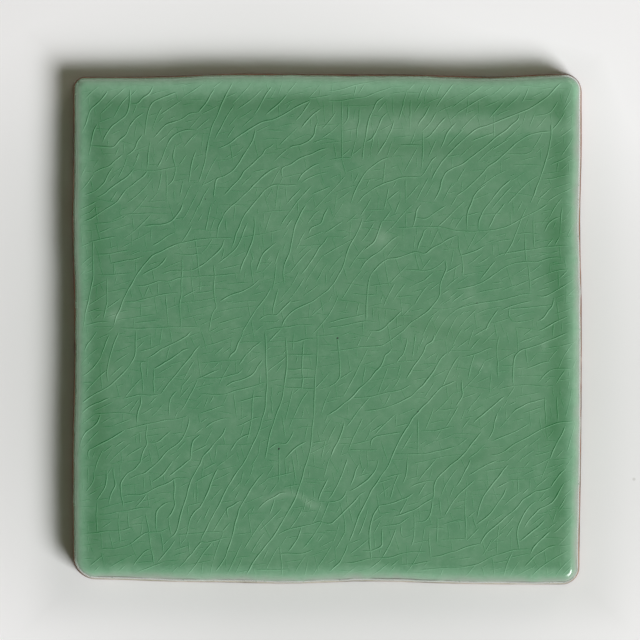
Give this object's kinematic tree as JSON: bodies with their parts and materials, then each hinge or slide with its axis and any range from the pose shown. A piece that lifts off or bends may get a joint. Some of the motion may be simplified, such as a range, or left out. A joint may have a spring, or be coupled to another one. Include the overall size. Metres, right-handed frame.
{
  "type": "glazed wall tile",
  "caption": "Square hand-made wall tile of red clay with a rolled green crackle-glazed face and a grooved back.",
  "frame": {"origin": "middle of the flat back, which is the plane that the adhesive or the floor touches", "axes": "+Z points out of the glazed face, +X to the right and +Y up as the tile is seen from its face"},
  "size_m": [0.1303, 0.1306, 0.0101],
  "materials": {
    "crackle_glaze": "gloss"
  },
  "bodies": {
    "root": {"glazed_tile": "crackle_glaze"}
  },
  "joints": []
}
